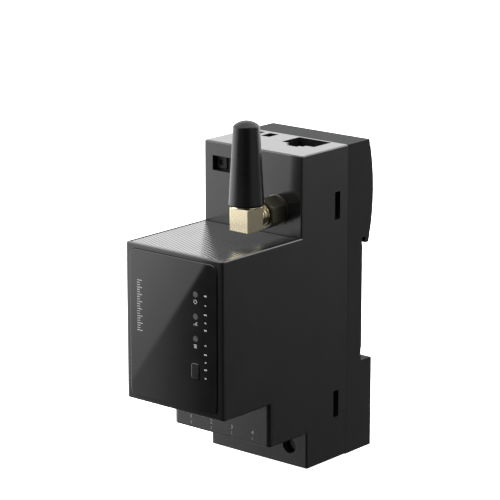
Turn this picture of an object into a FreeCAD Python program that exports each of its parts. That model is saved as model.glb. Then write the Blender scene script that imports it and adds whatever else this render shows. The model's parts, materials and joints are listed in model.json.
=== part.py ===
"""Two-module DIN rail energy meter with a screw-on stub antenna, as separate sub-parts.

Frame, in millimetres: the origin is the middle of the flat seat that lies on the rail, X runs along
the rail, +Y points back through the rail, +Z is up. The meter faces -Y. Every function below makes
one sub-part, and the table at the end writes each of them to parts/NAME.step.
"""

import FreeCAD
import Part
import math
import os

V = FreeCAD.Vector

# ---------------------------------------------------------------- casing
WIDTH = 36.0  # two 18 mm modules
HALF_WIDTH = WIDTH / 2
HALF_HEIGHT = 46.0
NOSE_HALF_HEIGHT = 22.6  # the 45 mm window of a distribution board
NOSE_FRONT = -61.35
UPPER_FRONT = -27.7  # front of the block above the nose
SHELF_FRONT = -41.45
SHELF_BOTTOM = -35.3
BASE_FRONT = -24.9
SEAM = -7.15  # where the front housing meets the rear base
WALL = 1.8
NOSE_EDGE = 1.1  # rounding of the nose's upright edges
SHELF_EDGE = 1.3
UPPER_EDGE = 0.6  # and of the block above it and the base below
SOFT_EDGE = 0.45  # rounding of every other outer edge
INNER_X = HALF_WIDTH - WALL
INNER_Z = HALF_HEIGHT - WALL

# ---------------------------------------------------------------- rail seat
RAIL_HALF = 17.5  # half of a 35 mm rail
RAIL_PLAY = 0.2
BACK = 5.1  # rearmost face of the lower lug and of the bulge above
HOOK_BACK = 3.15  # the bulge's face at its top and bottom ends
LIP_GAP = 1.35  # room for the 1 mm rail flange
LIP_BOTTOM = 15.9
LUG_TOP = -19.1
SEAT_TOP = 15.7  # the seat itself stops short of the hook and of the latch
SEAT_BOTTOM = -15.3
SEAT_RELIEF = 0.2
BASE_FLOOR = -WALL

# ---------------------------------------------------------------- rail latch
LATCH_HALF = 9.6
LATCH_FRONT = 0.8
LATCH_BACK = 4.7
LATCH_RAIL = 1.1  # how far the guide rail on each side stands out
LATCH_PLAY = 0.2
LATCH_BOTTOM = -45.8
SPRING_TOP = -26.0
SPRING_BOTTOM = -35.0
SPRING_RADIUS = 1.35
SPRING_WIRE = 0.22
SPRING_Y = 2.75

# ---------------------------------------------------------------- snap windows in the sides
SNAP_Y = (-12.95, -10.55)
SNAP_HALF_HEIGHT = 4.0
SNAP_Z = (29.2, -29.5)
SNAP_HOOK = 0.6
TONGUE_THICK = 1.3
TONGUE_PLAY = 0.15

# ---------------------------------------------------------------- front panel, lights and button
PANEL_HALF_WIDTH = 15.9
PANEL_HALF_HEIGHT = 21.3
PANEL_RADIUS = 2.4
PANEL_PROUD = 0.35
PANEL_THICK = 1.2
PANEL_BACK = NOSE_FRONT - PANEL_PROUD + PANEL_THICK
NOSE_INNER = PANEL_BACK + 1.2
LIGHT_X = 8.25
LIGHT_Z = (12.0, 5.7, -0.6)
LIGHT_RADIUS = 0.85
BUTTON_Z = -9.8
BUTTON_SIZE = (2.8, 4.6)
BUTTON_RADIUS = 0.8
BUTTON_PROUD = 0.25
BUTTON_PLAY = 0.12

# ---------------------------------------------------------------- top deck of the nose
DECK_HALF_WIDTH = 17.2
DECK_FRONT = NOSE_FRONT + 0.85
DECK_BACK = UPPER_FRONT - 0.25
DECK_THICK = 0.8

# ---------------------------------------------------------------- circuit boards
BOARD_THICK = 1.6
MAIN_BOARD_FRONT = -6.8
MAIN_BOARD_HALF = (14.4, 42.6)
DISPLAY_BOARD_FRONT = -56.6
DISPLAY_BOARD_THICK = 1.2
LINK_BOARD_X = -15.3
CORE_X = -4.8
CORE_Z = -12.5
CORE_Y = (-16.3, -9.2)
BOSS_PLACES = ((-11.0, 22.0), (11.0, 22.0), (-11.0, -25.0), (11.0, -25.0))

# ---------------------------------------------------------------- data socket in the top face
SOCKET_X = 6.75
SOCKET_HALF = 5.85
SOCKET_BACK = -7.9
SOCKET_FRONT = -15.9
SOCKET_KEY_HALF = 3.1  # first step of the latch notch
SOCKET_KEY_FRONT = -17.4
SOCKET_TAB_HALF = 1.9  # second step of the latch notch
SOCKET_TAB_FRONT = -18.7
SOCKET_BODY = (-20.2, 30.4)  # front face and underside
SOCKET_DEPTH = 12.6
SOCKET_BODY_HALF = 7.7
SHIELD_THICK = 0.25

# ---------------------------------------------------------------- supply terminal beside the socket
SUPPLY_X = (-12.59, -7.51)  # 5.08 mm pitch
SUPPLY_WINDOW = (-14.8, -5.3, 37.55, 41.9)
SUPPLY_ENTRY_HALF = 1.6
SUPPLY_ENTRY_Y = (-13.25, -8.8)
SUPPLY_BODY_X = (-15.7, -4.4)
SUPPLY_BODY_Z = 32.9
PUSHER_SIZE = (3.9, 3.7)
PUSHER_FACE = UPPER_FRONT + 1.5
PUSHER_END = -15.6
PUSHER_TRAVEL = 1.5

# ---------------------------------------------------------------- line terminals at the bottom
POLE_PITCH = 7.62
POLE_X = tuple(POLE_PITCH * (n - 1.5) for n in range(4))
SCREW_Z = -40.1
ACCESS_RADIUS = 2.35
HEAD_RADIUS = 2.15
HEAD_FACE = BASE_FRONT + 2.5
HEAD_THICK = 1.4
SHANK_RADIUS = 1.45
SCREW_TIP = -15.4
CAGE_HALF = 2.65
CAGE_Z = (-43.2, -37.0)
CAGE_Y = (-17.1, -10.0)
CAGE_WINDOW_Y = (-15.6, -11.2)
CAGE_TRAVEL = 2.5
BUSBAR_Y = (-15.2, -14.4)
BUSBAR_HALF = 1.6
BLOCK_Y = (-23.0, -9.2)
BLOCK_Z = (-44.1, -34.0)
BLOCK_HALF = 15.9
CELL_HALF = 2.85
ENTRY_HALF = 2.3
ENTRY_Y = (-14.6, -10.9)

# ---------------------------------------------------------------- antenna and its connector
AXIS_X = 8.8
AXIS_Z = 29.4
WASHER_RADIUS = 4.45
WASHER_THICK = 0.4
THREAD_RADIUS = 3.1
THREAD_ROOT = 2.8
THREAD_PITCH = 0.706
JACK_END = -32.0
JACK_BORE = 2.3
NUT_FLATS = 7.94
NUT_Y = (-34.15, -28.15)
NUT_BORE = 3.2
COLLAR_Y = (-37.45, -34.3)
COLLAR_TUBE = 2.6
ELBOW_SIZE = 6.6
ELBOW_BACK = COLLAR_Y[0]
ARM_Y = ELBOW_BACK - ELBOW_SIZE / 2
WHIP_BOTTOM = AXIS_Z + 3.8
WHIP_TOP = 57.0
WHIP_RADII = (4.94, 3.72)
FOOT_EDGE = 0.6
DOME_RADIUS = 3.45
DOME_HEIGHT = 1.45


# ---------------------------------------------------------------- small helpers
def block(x0, x1, y0, y1, z0, z1):
    """A box between two corners."""
    return Part.makeBox(x1 - x0, y1 - y0, z1 - z0, V(x0, y0, z0))


def rod_y(radius, y0, y1, x, z):
    """A cylinder along +Y."""
    return Part.makeCylinder(radius, y1 - y0, V(x, y0, z), V(0, 1, 0))


def rod_z(radius, z0, z1, x, y):
    """A cylinder along +Z."""
    return Part.makeCylinder(radius, z1 - z0, V(x, y, z0), V(0, 0, 1))


def tube_y(outer, inner, y0, y1, x, z):
    """A ring along +Y."""
    return rod_y(outer, y0, y1, x, z).cut(rod_y(inner, y0 - 1, y1 + 1, x, z))


def turned(profile, x, z):
    """A solid of revolution about the line along +Y through (x, z), from (radius, y) points."""
    points = [V(x + r, y, z) for r, y in profile]
    face = Part.Face(Part.makePolygon(points + points[:1]))
    return face.revolve(V(x, 0, z), V(0, 1, 0), 360)


def plate_y(half_x, half_z, radius, y0, y1, x, z):
    """A plate facing Y, with rounded corners."""
    body = block(x - half_x, x + half_x, y0, y1, z - half_z, z + half_z)
    upright = [e for e in body.Edges if spans(e).y > 0 and spans(e).x < 1e-6 and spans(e).z < 1e-6]
    return body.makeFillet(radius, upright)


def hexagon_y(flats, y0, y1, x, z):
    """A hexagonal bar along +Y with two flats facing +X and -X."""
    reach = flats / math.sqrt(3)
    angles = [math.radians(30 + 60 * n) for n in range(6)]
    points = [V(x + reach * math.cos(a), y0, z + reach * math.sin(a)) for a in angles]
    return Part.Face(Part.makePolygon(points + points[:1])).extrude(V(0, y1 - y0, 0))


def side_profile(points):
    """A prism as wide as the casing, from (y, z) corners."""
    corners = [V(-HALF_WIDTH, y, z) for y, z in points]
    return Part.Face(Part.makePolygon(corners + corners[:1])).extrude(V(WIDTH, 0, 0))


def spans(edge):
    """The lengths of an edge's box along X, Y and Z."""
    b = edge.BoundBox
    return V(b.XLength, b.YLength, b.ZLength)


def is_straight(edge, axis):
    """True for an edge that runs along one axis only."""
    s = spans(edge)
    lengths = {"x": s.x, "y": s.y, "z": s.z}
    along = lengths.pop(axis)
    return along > 1e-4 and max(lengths.values()) < 1e-6


def fused(shapes):
    """The union of several shapes, with seams between coplanar faces removed."""
    return shapes[0].multiFuse(shapes[1:]).removeSplitter() if len(shapes) > 1 else shapes[0]


# ---------------------------------------------------------------- casing shells
def housing_room():
    """The hollow inside the front housing, open at the back."""
    low, high = -INNER_Z, INNER_Z
    shelf = SHELF_BOTTOM + WALL
    nose = NOSE_HALF_HEIGHT - WALL
    corners = [
        (SEAM + 1, low),
        (BASE_FRONT + WALL, low),
        (BASE_FRONT + WALL, shelf),
        (SHELF_FRONT + WALL, shelf),
        (SHELF_FRONT + WALL, -nose),
        (NOSE_INNER, -nose),
        (NOSE_INNER, nose),
        (UPPER_FRONT + WALL, nose),
        (UPPER_FRONT + WALL, high),
        (SEAM + 1, high),
    ]
    prism = side_profile(corners)
    return prism.common(block(-INNER_X, INNER_X, NOSE_FRONT, 5, -60, 60))


def socket_cut(z0, z1):
    """The stepped outline of the data socket's mouth, between two heights."""
    steps = [
        (SOCKET_HALF, SOCKET_FRONT),
        (SOCKET_KEY_HALF, SOCKET_KEY_FRONT),
        (SOCKET_TAB_HALF, SOCKET_TAB_FRONT),
    ]
    pieces = [block(SOCKET_X - h, SOCKET_X + h, f, SOCKET_BACK, z0, z1) for h, f in steps]
    return fused(pieces)


def rounded_box(y0, y1, z0, z1, front_radius):
    """A full-width block with soft edges, its upright front edges rounder and its back left square."""
    body = block(-HALF_WIDTH, HALF_WIDTH, y0, y1, z0, z1)
    front = [e for e in body.Edges if is_straight(e, "z") and abs(e.BoundBox.YMax - y0) < 1e-6]
    body = body.makeFillet(front_radius, front)
    return body.makeFillet(SOFT_EDGE, [e for e in body.Edges if not touches_back(e, y1)])


def touches_back(edge, y1):
    """True for the edges of the back face, and for those that are already round."""
    b = edge.BoundBox
    upright = is_straight(edge, "z")
    return abs(b.YMin - y1) < 1e-6 or (upright and b.YMax < y1)


def rounded_housing():
    """The solid outside shape of the front housing: four soft-edged blocks, one behind the other."""
    nose = rounded_box(NOSE_FRONT, SEAM, -NOSE_HALF_HEIGHT, NOSE_HALF_HEIGHT, NOSE_EDGE)
    upper = rounded_box(UPPER_FRONT, SEAM, 0, HALF_HEIGHT, UPPER_EDGE)
    shelf = rounded_box(SHELF_FRONT, SEAM, SHELF_BOTTOM, 0, SHELF_EDGE)
    base = rounded_box(BASE_FRONT, SEAM, -HALF_HEIGHT, 0, UPPER_EDGE)
    return fused([nose, upper, shelf, base])


def front_housing():
    """The moulded shell that carries the nose, the shelf and the upper block."""
    body = rounded_housing().cut(housing_room())
    cuts = [
        plate_y(PANEL_HALF_WIDTH + 0.1, PANEL_HALF_HEIGHT + 0.1, PANEL_RADIUS, NOSE_FRONT - 1, PANEL_BACK, 0, 0),
        block(-DECK_HALF_WIDTH - 0.1, DECK_HALF_WIDTH + 0.1, DECK_FRONT - 0.1, DECK_BACK + 0.1,
              NOSE_HALF_HEIGHT - DECK_THICK, NOSE_HALF_HEIGHT + 1),
        socket_cut(INNER_Z - 1, HALF_HEIGHT + 1),
        rod_y(THREAD_RADIUS + 0.12, UPPER_FRONT - 1, UPPER_FRONT + WALL + 1, AXIS_X, AXIS_Z),
        block(SUPPLY_WINDOW[0], SUPPLY_WINDOW[1], UPPER_FRONT - 1, UPPER_FRONT + WALL + 1,
              SUPPLY_WINDOW[2], SUPPLY_WINDOW[3]),
        button_shape(BUTTON_PLAY, NOSE_FRONT, NOSE_INNER + 1),
    ]
    for z in LIGHT_Z:
        cuts.append(rod_y(LIGHT_RADIUS + 0.08, NOSE_FRONT, NOSE_INNER + 1, LIGHT_X, z))
    for x in SUPPLY_X:
        cuts.append(block(x - SUPPLY_ENTRY_HALF, x + SUPPLY_ENTRY_HALF, *SUPPLY_ENTRY_Y, INNER_Z - 1, HALF_HEIGHT + 1))
    for x in POLE_X:
        cuts.append(rod_y(ACCESS_RADIUS, BASE_FRONT - 1, BASE_FRONT + WALL + 1, x, SCREW_Z))
        cuts.append(block(x - ENTRY_HALF, x + ENTRY_HALF, *ENTRY_Y, -HALF_HEIGHT - 1, -INNER_Z + 1))
    for z in SNAP_Z:
        cuts.append(block(-HALF_WIDTH - 1, HALF_WIDTH + 1, *SNAP_Y, z - SNAP_HALF_HEIGHT, z + SNAP_HALF_HEIGHT))
    for cut in cuts:
        body = body.cut(cut)
    return body


def base_outline():
    """The rear base's side view as a closed wire on the plane x = -HALF_WIDTH."""
    def p(y, z):
        return V(-HALF_WIDTH, y, z)

    middle = (HALF_HEIGHT + LIP_BOTTOM) / 2
    groove_top = RAIL_HALF + RAIL_PLAY
    bulge = Part.Arc(p(HOOK_BACK, HALF_HEIGHT), p(BACK, middle), p(HOOK_BACK, LIP_BOTTOM)).toShape()
    corners = [
        p(HOOK_BACK, LIP_BOTTOM),
        p(LIP_GAP, LIP_BOTTOM),
        p(LIP_GAP, groove_top),
        p(-SEAT_RELIEF, groove_top),
        p(-SEAT_RELIEF, SEAT_TOP),
        p(0, SEAT_TOP),
        p(0, SEAT_BOTTOM),
        p(-SEAT_RELIEF, SEAT_BOTTOM),
        p(-SEAT_RELIEF, LUG_TOP),
        p(BACK - 0.5, LUG_TOP),
        p(BACK, LUG_TOP - 0.5),
        p(BACK, -HALF_HEIGHT),
        p(SEAM, -HALF_HEIGHT),
        p(SEAM, HALF_HEIGHT),
        p(HOOK_BACK, HALF_HEIGHT),
    ]
    lines = [Part.makeLine(a, b) for a, b in zip(corners, corners[1:])]
    return Part.Wire([bulge] + lines)


def latch_channel():
    """The slot in the lower lug that the latch slides in, open to the back."""
    half = LATCH_HALF + LATCH_PLAY
    rail_half = half + LATCH_RAIL
    low, high = -HALF_HEIGHT - 1, LUG_TOP + 1
    main = block(-half, half, LATCH_FRONT - LATCH_PLAY, BACK + 1, low, high)
    rails = block(-rail_half, rail_half, 1.9, 3.5, low, high)
    return main.fuse(rails)


def snap_tongues():
    """Four springy tongues with hooks that catch in the housing's side windows."""
    shapes = []
    outer = INNER_X - TONGUE_PLAY
    for side in (-1, 1):
        for z in SNAP_Z:
            half = SNAP_HALF_HEIGHT - 0.5
            xs = sorted((side * (outer - TONGUE_THICK), side * outer))
            shapes.append(block(*xs, SNAP_Y[0] - 1.4, BASE_FLOOR, z - half, z + half))
            root = sorted((side * (outer - TONGUE_THICK), side * (INNER_X + 0.3)))
            shapes.append(block(*root, SEAM + 0.2, BASE_FLOOR, z - half, z + half))
            front, back = SNAP_Y[0] + 0.15, SNAP_Y[1] - 0.15
            hook = [V(side * outer, front, z - half), V(side * (outer + SNAP_HOOK), back - 0.5, z - half),
                    V(side * (outer + SNAP_HOOK), back, z - half), V(side * outer, back, z - half)]
            shapes.append(Part.Face(Part.makePolygon(hook + hook[:1])).extrude(V(0, 0, 2 * half)))
    return shapes


def rear_base():
    """The shell that sits on the rail, with the fixed hook above and the latch channel below."""
    body = Part.Face(base_outline()).extrude(V(WIDTH, 0, 0))
    rim = [
        e
        for e in body.Edges
        if abs(abs(e.BoundBox.Center.x) - HALF_WIDTH) < 1e-3 and spans(e).x < 1e-6
        and e.BoundBox.YMax > SEAM + 0.01 and e.BoundBox.ZLength > 20 and e.BoundBox.YMax > 1
    ]
    body = body.makeFillet(SOFT_EDGE, rim)
    room = block(-INNER_X, INNER_X, SEAM - 1, BASE_FLOOR, -INNER_Z, INNER_Z)
    hook_room = block(-INNER_X, INNER_X, SEAM, 0.9, RAIL_HALF + 2.2, INNER_Z)
    body = body.cut(room).cut(hook_room).cut(latch_channel())
    post = block(-1.7, 1.7, BASE_FLOOR, LATCH_BACK - 0.6, SPRING_BOTTOM - 1.6, SPRING_BOTTOM)
    bosses = [rod_y(2.4, MAIN_BOARD_FRONT + BOARD_THICK, BASE_FLOOR + 0.5, x, z) for x, z in BOSS_PLACES]
    hook_boss = [rod_y(2.4, MAIN_BOARD_FRONT + BOARD_THICK, 2.0, x, z) for x, z in BOSS_PLACES if z > RAIL_HALF]
    body = fused([body, post] + bosses + hook_boss + snap_tongues())
    for x, z in BOSS_PLACES:
        body = body.cut(rod_y(0.98, MAIN_BOARD_FRONT, BASE_FLOOR + 0.4, x, z))
    return body


# ---------------------------------------------------------------- rail latch and its spring
def rail_latch():
    """The sliding foot that locks behind the rail's lower flange, pulled down with a screwdriver."""
    tooth = [
        (LATCH_FRONT, -RAIL_HALF - RAIL_PLAY),
        (LIP_GAP, -RAIL_HALF - RAIL_PLAY),
        (LIP_GAP, -15.9),
        (2.0, -15.5),
        (4.3, -18.7),
        (LATCH_BACK, -20.2),
        (LATCH_BACK, LATCH_BOTTOM),
        (LATCH_FRONT, LATCH_BOTTOM),
    ]
    points = [V(-LATCH_HALF, y, z) for y, z in tooth]
    body = Part.Face(Part.makePolygon(points + points[:1])).extrude(V(2 * LATCH_HALF, 0, 0))
    rail_half = LATCH_HALF + LATCH_RAIL
    body = body.fuse(block(-rail_half, rail_half, 2.1, 3.3, LATCH_BOTTOM, LUG_TOP - 0.6))
    pocket = block(-1.9, 1.9, 0, LATCH_BACK + 1, SPRING_BOTTOM - 1.7, SPRING_TOP)
    slot = block(-3.2, 3.2, 0, LATCH_BACK + 1, -43.9, -41.7)
    ribs = [block(-7.5, 7.5, LATCH_BACK - 0.5, LATCH_BACK + 1, z, z + 0.8) for z in (-40.2, -38.6)]
    relief = [block(s * 6.0 - 1.6, s * 6.0 + 1.6, LATCH_BACK - 1.4, LATCH_BACK + 1, -35.5, -23.5) for s in (-1, 1)]
    for cut in [pocket, slot] + ribs + relief:
        body = body.cut(cut)
    return body.removeSplitter()


def latch_spring():
    """A stand-in tube with the coil spring's outer size and length."""
    outer = SPRING_RADIUS + SPRING_WIRE
    inner = SPRING_RADIUS - SPRING_WIRE
    tube = rod_z(outer, SPRING_BOTTOM, SPRING_TOP, 0, SPRING_Y)
    return tube.cut(rod_z(inner, SPRING_BOTTOM - 1, SPRING_TOP + 1, 0, SPRING_Y))


# ---------------------------------------------------------------- front panel, lights, button
def button_shape(play, y0, y1):
    """The button's rounded outline, grown by play, between two depths."""
    half_x = BUTTON_SIZE[0] / 2 + play
    half_z = BUTTON_SIZE[1] / 2 + play
    return plate_y(half_x, half_z, BUTTON_RADIUS + play, y0, y1, LIGHT_X, BUTTON_Z)


def front_panel():
    """The glossy plate bonded into the nose, slightly proud, with a small rounded rim."""
    front = NOSE_FRONT - PANEL_PROUD
    body = plate_y(PANEL_HALF_WIDTH, PANEL_HALF_HEIGHT, PANEL_RADIUS, front, PANEL_BACK, 0, 0)
    rim = [e for e in body.Edges if e.BoundBox.YLength < 1e-6 and abs(e.BoundBox.YMax - front) < 1e-6]
    body = body.makeFillet(0.22, rim)
    body = body.cut(button_shape(BUTTON_PLAY, front - 1, PANEL_BACK + 1))
    for z in LIGHT_Z:
        body = body.cut(rod_y(LIGHT_RADIUS + 0.02, front - 1, PANEL_BACK + 1, LIGHT_X, z))
    return body


def light_guide():
    """Three clear pins on one bar that carry the lamps' light to the panel's face."""
    face = NOSE_FRONT - PANEL_PROUD + 0.02
    pins = [rod_y(LIGHT_RADIUS, face, DISPLAY_BOARD_FRONT - 0.85, LIGHT_X, z) for z in LIGHT_Z]
    bar = block(LIGHT_X - 1.5, LIGHT_X + 1.5, NOSE_INNER + 0.05, NOSE_INNER + 0.85, LIGHT_Z[2] - 1.5, LIGHT_Z[0] + 1.5)
    return fused([bar] + pins)


def setup_button():
    """The push button: its cap stands through the panel, and a flange holds it behind the wall."""
    face = NOSE_FRONT - PANEL_PROUD - BUTTON_PROUD
    cap = button_shape(0, face, NOSE_INNER + 0.1)
    rim = [e for e in cap.Edges if e.BoundBox.YLength < 1e-6 and abs(e.BoundBox.YMax - face) < 1e-6]
    cap = cap.makeFillet(0.2, rim)
    flange = block(LIGHT_X - 2.1, LIGHT_X + 2.1, NOSE_INNER + 0.03, NOSE_INNER + 0.5, BUTTON_Z - 2.9, BUTTON_Z + 2.9)
    return fused([cap, flange])


def tact_plunger():
    """The switch's own plunger, which the button pushes."""
    return rod_y(1.0, NOSE_INNER + 0.5, DISPLAY_BOARD_FRONT - 0.65, LIGHT_X, BUTTON_Z)


def tact_switch():
    """The push switch on the display board."""
    front = DISPLAY_BOARD_FRONT - 1.4
    body = block(LIGHT_X - 2.2, LIGHT_X + 2.2, front, DISPLAY_BOARD_FRONT, BUTTON_Z - 2.2, BUTTON_Z + 2.2)
    return body.cut(rod_y(1.08, front - 1, DISPLAY_BOARD_FRONT - 0.1, LIGHT_X, BUTTON_Z))


def indicator_lamps():
    """Three surface lamps behind the light guide's pins."""
    front = DISPLAY_BOARD_FRONT - 0.75
    return Part.makeCompound([
        block(LIGHT_X - 0.8, LIGHT_X + 0.8, front, DISPLAY_BOARD_FRONT, z - 0.6, z + 0.6) for z in LIGHT_Z
    ])


def deck_plate():
    """The textured plate let into the nose's top."""
    return block(-DECK_HALF_WIDTH, DECK_HALF_WIDTH, DECK_FRONT, DECK_BACK,
                 NOSE_HALF_HEIGHT - DECK_THICK, NOSE_HALF_HEIGHT - 0.02)


# ---------------------------------------------------------------- boards and what is on them
def main_board():
    """The upright board on the base's bosses that carries the sockets and terminals."""
    half_x, half_z = MAIN_BOARD_HALF
    back = MAIN_BOARD_FRONT + BOARD_THICK
    body = block(-half_x, half_x, MAIN_BOARD_FRONT, back, -half_z, half_z)
    for x, z in BOSS_PLACES:
        body = body.cut(rod_y(1.1, MAIN_BOARD_FRONT - 1, back + 1, x, z))
    for x in POLE_X:
        body = body.cut(block(x - 1.7, x + 1.7, MAIN_BOARD_FRONT - 1, back + 1, -35.1, -34.1))
    return body


def display_board():
    """The small board behind the nose's front wall."""
    back = DISPLAY_BOARD_FRONT + DISPLAY_BOARD_THICK
    return block(-15.8, 15.8, DISPLAY_BOARD_FRONT, back, -19.6, 19.6)


def link_board():
    """The board that runs front to back along the left wall."""
    front = DISPLAY_BOARD_FRONT + DISPLAY_BOARD_THICK + 1.0
    return block(LINK_BOARD_X, LINK_BOARD_X + 1.2, front, MAIN_BOARD_FRONT - 1.0, -18.0, 18.0)


def link_connectors():
    """Two edge connectors that join the link board to the others."""
    front = DISPLAY_BOARD_FRONT + DISPLAY_BOARD_THICK
    x0, x1 = LINK_BOARD_X - 0.5, LINK_BOARD_X + 3.4
    slot = (LINK_BOARD_X, LINK_BOARD_X + 1.2)
    shapes = []
    for y0, y1, gap in ((front, front + 4, 1.0), (MAIN_BOARD_FRONT - 4, MAIN_BOARD_FRONT, -1.0)):
        body = block(x0, x1, y0, y1, -14.0, 14.0)
        cut_y = (y0 + gap, y1 + 1) if gap > 0 else (y0 - 1, y1 + gap)
        shapes.append(body.cut(block(*slot, *cut_y, -15.0, 15.0)))
    return Part.makeCompound(shapes)


def radio_module():
    """The radio's own small board, soldered to the back of the display board."""
    back = DISPLAY_BOARD_FRONT + DISPLAY_BOARD_THICK
    return block(-11.0, 3.0, back, back + 0.8, 0.0, 18.0)


def radio_shield():
    """The tin can over the radio's chips."""
    back = DISPLAY_BOARD_FRONT + DISPLAY_BOARD_THICK + 0.8
    outside = block(-10.2, 2.2, back, back + 2.0, 0.8, 13.0)
    return outside.cut(block(-10.0, 2.0, back - 1, back + 1.8, 1.0, 12.8))


def transformer_core():
    """The ferrite core of the power supply's transformer: a frame with a middle leg."""
    y0, y1 = CORE_Y
    outside = block(CORE_X - 6.5, CORE_X + 6.5, y0, y1, CORE_Z - 6.5, CORE_Z + 6.5)
    for side in (-1, 1):
        x = CORE_X + side * 3.6
        outside = outside.cut(block(x - 1.6, x + 1.6, y0 - 1, y1 + 1, CORE_Z - 4.2, CORE_Z + 4.2))
    return outside


def transformer_winding():
    """The wound bobbin around the core's middle leg."""
    y0, y1 = CORE_Y
    loop = block(CORE_X - 5.0, CORE_X + 5.0, y0 - 1.8, y1 + 1.8, CORE_Z - 4.0, CORE_Z + 4.0)
    loop = loop.makeFillet(0.9, [e for e in loop.Edges if is_straight(e, "z")])
    return loop.cut(block(CORE_X - 2.05, CORE_X + 2.05, y0 - 0.1, y1 + 0.1, CORE_Z - 5, CORE_Z + 5))


def bulk_capacitor():
    """The power supply's storage capacitor, lying along Z."""
    can = rod_z(4.8, -20.0, -5.0, 8.2, MAIN_BOARD_FRONT - 5.0)
    rim = [e for e in can.Edges if isinstance(e.Curve, Part.Circle)]
    return can.makeFillet(0.6, rim)


def metering_chip():
    """The flat chip that measures current and voltage."""
    return block(-5.0, 4.0, MAIN_BOARD_FRONT - 1.1, MAIN_BOARD_FRONT, 3.0, 12.0)


def surge_discs():
    """Three disc varistors between the line terminals and the supply."""
    discs = [rod_z(3.4, -30.5, -27.0, x, MAIN_BOARD_FRONT - 3.5) for x in (-7.2, 0.0, 7.2)]
    return Part.makeCompound(discs)


def board_screws():
    """Four pan head screws that hold the main board to the base."""
    shapes = []
    for x, z in BOSS_PLACES:
        head = rod_y(1.8, MAIN_BOARD_FRONT - 1.2, MAIN_BOARD_FRONT, x, z)
        shank = rod_y(0.95, MAIN_BOARD_FRONT - 0.1, BASE_FLOOR - 0.3, x, z)
        slots = [block(x - 1.1, x + 1.1, MAIN_BOARD_FRONT - 2, MAIN_BOARD_FRONT - 0.6, z - 0.22, z + 0.22),
                 block(x - 0.22, x + 0.22, MAIN_BOARD_FRONT - 2, MAIN_BOARD_FRONT - 0.6, z - 1.1, z + 1.1)]
        shapes.append(head.fuse(shank).cut(slots[0]).cut(slots[1]))
    return Part.makeCompound(shapes)


# ---------------------------------------------------------------- data socket
def socket_body():
    """The plastic insert of the data socket, with the plug's cavity."""
    front, low = SOCKET_BODY
    half = SOCKET_BODY_HALF - SHIELD_THICK - 0.02
    top = INNER_Z - 0.1
    body = block(SOCKET_X - half, SOCKET_X + half, front + SHIELD_THICK + 0.02, MAIN_BOARD_FRONT, low, top)
    cavity = socket_cut(top - SOCKET_DEPTH, top + 1)
    return body.cut(cavity)


def socket_shield():
    """The folded metal shell round the data socket's front and sides."""
    front, low = SOCKET_BODY
    half = SOCKET_BODY_HALF
    top = INNER_Z - 0.1
    outside = block(SOCKET_X - half, SOCKET_X + half, front, MAIN_BOARD_FRONT, low, top)
    inner = half - SHIELD_THICK
    inside = block(SOCKET_X - inner, SOCKET_X + inner, front + SHIELD_THICK, MAIN_BOARD_FRONT + 1, low - 1, top + 1)
    return outside.cut(inside)


def socket_contacts():
    """Eight sprung contacts along the back of the plug's cavity."""
    pitch, half = 1.02, 0.2
    top = INNER_Z - 2.2
    wires = []
    for n in range(8):
        x = SOCKET_X + (n - 3.5) * pitch
        low = top - 7.0
        points = [
            V(x - half, SOCKET_BACK - 0.02, top),
            V(x - half, SOCKET_BACK - 0.42, top),
            V(x - half, SOCKET_BACK - 2.1, low),
            V(x - half, SOCKET_BACK - 1.7, low - 0.2),
            V(x - half, SOCKET_BACK - 0.02, top - 0.6),
        ]
        wires.append(Part.Face(Part.makePolygon(points + points[:1])).extrude(V(2 * half, 0, 0)))
    return Part.makeCompound(wires)


# ---------------------------------------------------------------- supply terminal
def supply_terminal():
    """The two-pole push-in terminal under the small wire entries."""
    x0, x1 = SUPPLY_BODY_X
    top = INNER_Z - 0.1
    front = UPPER_FRONT + WALL + 0.1
    body = block(x0, x1, front, MAIN_BOARD_FRONT, SUPPLY_BODY_Z, top)
    half_x, half_z = (s / 2 + 0.12 for s in PUSHER_SIZE)
    middle = (SUPPLY_WINDOW[2] + SUPPLY_WINDOW[3]) / 2
    for x in SUPPLY_X:
        body = body.cut(block(x - half_x, x + half_x, front - 1, PUSHER_END + PUSHER_TRAVEL + 0.3, middle - half_z, middle + half_z))
        body = body.cut(block(x - SUPPLY_ENTRY_HALF, x + SUPPLY_ENTRY_HALF, *SUPPLY_ENTRY_Y, SUPPLY_BODY_Z + 1.2, top + 1))
    return body


def supply_pusher(x):
    """One release pusher of the supply terminal."""
    half_x, half_z = (s / 2 for s in PUSHER_SIZE)
    middle = (SUPPLY_WINDOW[2] + SUPPLY_WINDOW[3]) / 2
    body = block(x - half_x, x + half_x, PUSHER_FACE, PUSHER_END, middle - half_z, middle + half_z)
    rim = [e for e in body.Edges if e.BoundBox.YLength < 1e-6 and abs(e.BoundBox.YMax - PUSHER_FACE) < 1e-6]
    body = body.makeFillet(0.25, rim)
    dimple = rod_y(0.9, PUSHER_FACE - 1, PUSHER_FACE + 0.45, x, middle)
    return body.cut(dimple)


def supply_springs():
    """Two leaf springs that hold the supply wires."""
    thick, half = 0.35, 1.3
    shapes = []
    for x in SUPPLY_X:
        y0, y1 = SUPPLY_ENTRY_Y[0] + 0.1, SUPPLY_ENTRY_Y[1] - 0.1
        z0, z1 = SUPPLY_BODY_Z + 1.25, 36.6
        upright = block(x - half, x + half, y1 - thick, y1, z0, z1 + 3.0)
        foot = block(x - half, x + half, y0, y1, z0, z0 + thick)
        points = [V(x - half, y0, z0), V(x - half, y0 + thick, z0), V(x - half, y1 - 1.2, z1), V(x - half, y1 - 1.6, z1)]
        blade = Part.Face(Part.makePolygon(points + points[:1])).extrude(V(2 * half, 0, 0))
        shapes.append(fused([upright, foot, blade]))
    return Part.makeCompound(shapes)


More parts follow.
